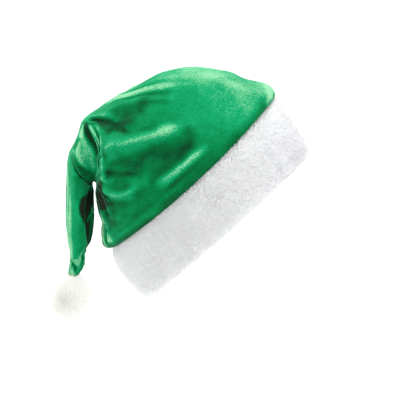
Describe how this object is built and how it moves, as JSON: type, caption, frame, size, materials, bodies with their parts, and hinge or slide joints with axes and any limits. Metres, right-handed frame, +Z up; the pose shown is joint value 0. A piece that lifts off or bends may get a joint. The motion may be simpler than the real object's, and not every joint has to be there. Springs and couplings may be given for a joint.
{
  "type": "santa hat",
  "caption": "Velvet stocking cap with a white plush band, its cone folded over at the back into a hanging tail that ends in a white pompom.",
  "frame": {"origin": "middle of the opening at the band's lower edge, where the head goes in", "axes": "+X to the wearer's front, +Y to the wearer's left, +Z up as the hat sits when worn tipped back"},
  "size_m": [0.2599, 0.1831, 0.2515],
  "materials": {
    "velvet": "green pile velvet with a pale sheen at grazing angles",
    "plush": "short dense white plush pile",
    "pompom_plush": "longer fluffy white pile"
  },
  "bodies": {
    "root": {"crown": "velvet", "fur_band": "plush", "pompom": "pompom_plush"}
  },
  "joints": []
}
